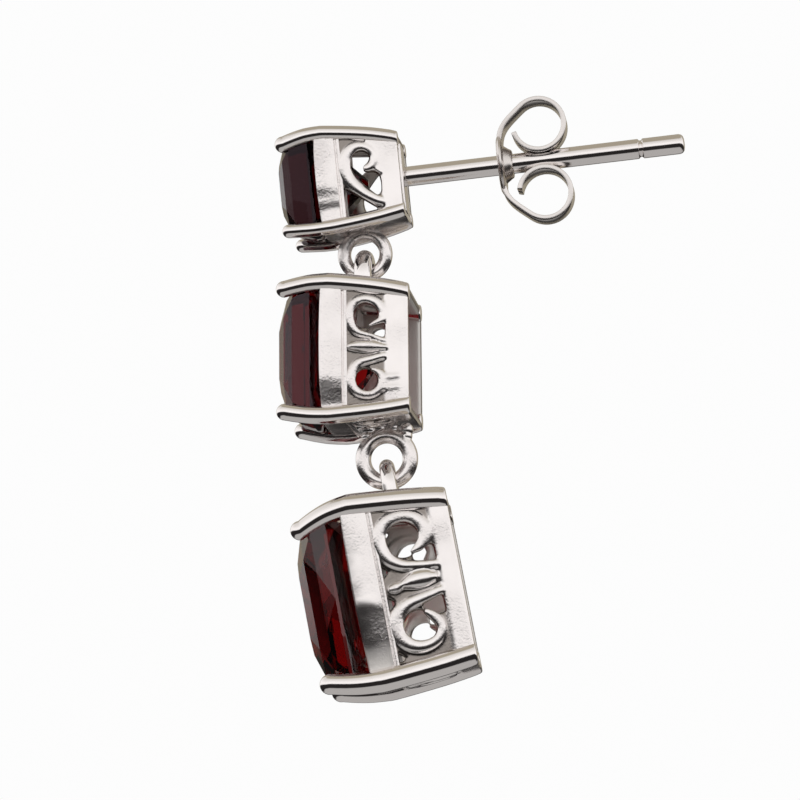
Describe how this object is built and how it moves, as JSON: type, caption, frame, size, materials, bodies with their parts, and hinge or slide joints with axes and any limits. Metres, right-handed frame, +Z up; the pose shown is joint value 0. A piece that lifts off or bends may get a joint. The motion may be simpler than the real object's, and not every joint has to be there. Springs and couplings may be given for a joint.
{
  "type": "drop earring",
  "caption": "Drop earring of square red stones in pierced claw baskets hung one below the other, with an ear post and a butterfly nut.",
  "frame": {"origin": "on the post's axis in the middle of the ear lobe, where the earring pins on", "axes": "the stones face -Y, the post runs towards +Y and rises a little, +Z is up, +X is to the wearer's side"},
  "size_m": [0.0093, 0.0195, 0.0288],
  "materials": {
    "silver": "white metal, mirror polished, with a faint pink tone and cast texture in the recesses",
    "nut_silver": "pressed white metal strip, softly polished",
    "garnet": "dark red faceted stone, polished"
  },
  "bodies": {
    "stud": {"stud_setting": "silver", "stud_stone": "garnet"},
    "middle_drop": {"middle_setting": "silver", "middle_stone": "garnet"},
    "bottom_drop": {"drop_setting": "silver", "drop_stone": "garnet"},
    "nut": {"ear_nut": "nut_silver"}
  },
  "joints": [
    {"name": "middle_swing", "type": "hinge", "parent": "stud", "child": "middle_drop", "pos_m": [-0.00014, -0.00418, -0.00419], "axis": [1, 0, 0], "range_deg": [-25, 25]},
    {"name": "bottom_swing", "type": "hinge", "parent": "middle_drop", "child": "bottom_drop", "pos_m": [0.00006, -0.0031, -0.01429], "axis": [0.998, 0.0628, 0], "range_deg": [-25, 25]},
    {"name": "nut_slide", "type": "slide", "parent": "stud", "child": "nut", "axis": [0, 0.9954, 0.0958], "range_m": [-0.0043, 0.0093]}
  ]
}
